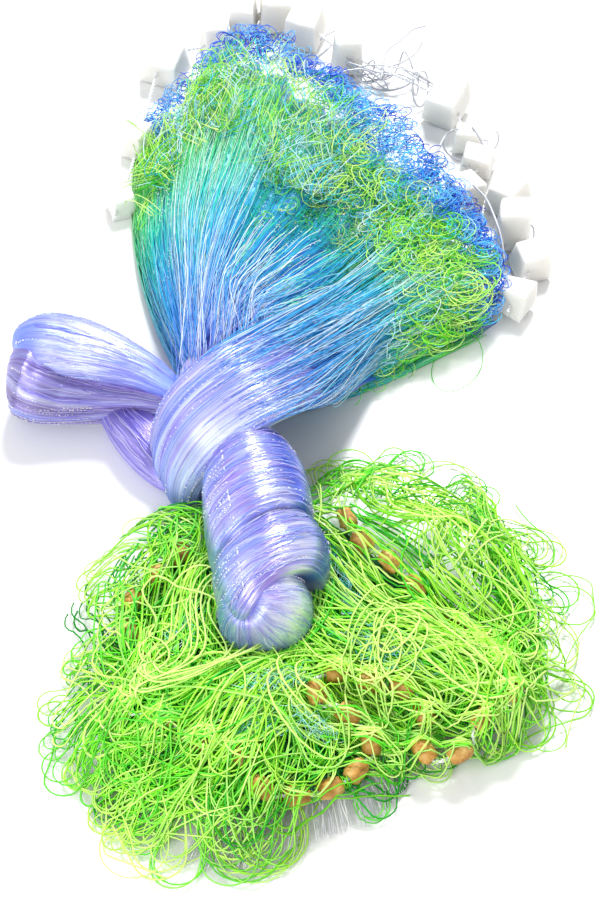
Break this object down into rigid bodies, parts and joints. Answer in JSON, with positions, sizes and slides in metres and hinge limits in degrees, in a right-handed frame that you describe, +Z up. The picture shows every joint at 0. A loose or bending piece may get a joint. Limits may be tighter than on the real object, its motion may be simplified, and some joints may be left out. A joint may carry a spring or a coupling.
{
  "type": "fishing net",
  "caption": "Bundled gill net tied in a half hitch: floats along a fanned head edge, clay sinkers along the heaped foot edge.",
  "frame": {"origin": "on the resting plane, under the middle of the bundled net's bounding box", "axes": "+Y towards the float end, along the bundle's length; +X to the right of the float end; +Z up from the surface it lies on"},
  "size_m": [0.423, 0.8948, 0.0969],
  "materials": {
    "fine_monofilament": "silky, fine monofilament netting gathered into a bundle",
    "coarse_monofilament": "glossy coarse monofilament, curled",
    "selvedge_twine": "satin curled twine",
    "rope_fibre": "matte, thin laid rope",
    "float_foam": "matte cut foam",
    "sinker_clay": "rough fired clay"
  },
  "bodies": {
    "root": {"fine_netting": "fine_monofilament", "coarse_netting_head": "coarse_monofilament", "selvedge_head": "selvedge_twine", "coarse_netting_foot": "coarse_monofilament", "head_rope": "rope_fibre", "foot_rope": "rope_fibre", "float_01": "float_foam", "float_02": "float_foam", "float_03": "float_foam", "float_04": "float_foam", "float_05": "float_foam", "float_06": "float_foam", "float_07": "float_foam", "float_08": "float_foam", "float_09": "float_foam", "float_10": "float_foam", "float_11": "float_foam", "float_12": "float_foam", "float_13": "float_foam", "float_14": "float_foam", "float_15": "float_foam", "float_16": "float_foam", "sinker_01": "sinker_clay", "sinker_02": "sinker_clay", "sinker_03": "sinker_clay", "sinker_04": "sinker_clay", "sinker_05": "sinker_clay", "sinker_06": "sinker_clay", "sinker_07": "sinker_clay", "sinker_08": "sinker_clay", "sinker_09": "sinker_clay", "sinker_10": "sinker_clay", "sinker_11": "sinker_clay", "sinker_12": "sinker_clay", "sinker_13": "sinker_clay", "sinker_14": "sinker_clay", "sinker_15": "sinker_clay", "sinker_16": "sinker_clay", "sinker_17": "sinker_clay", "sinker_18": "sinker_clay", "sinker_19": "sinker_clay", "sinker_20": "sinker_clay", "sinker_21": "sinker_clay", "sinker_22": "sinker_clay", "sinker_23": "sinker_clay", "sinker_24": "sinker_clay", "sinker_25": "sinker_clay", "sinker_26": "sinker_clay", "sinker_27": "sinker_clay", "sinker_28": "sinker_clay", "sinker_29": "sinker_clay", "sinker_30": "sinker_clay", "sinker_31": "sinker_clay", "sinker_32": "sinker_clay", "sinker_33": "sinker_clay"}
  },
  "joints": []
}
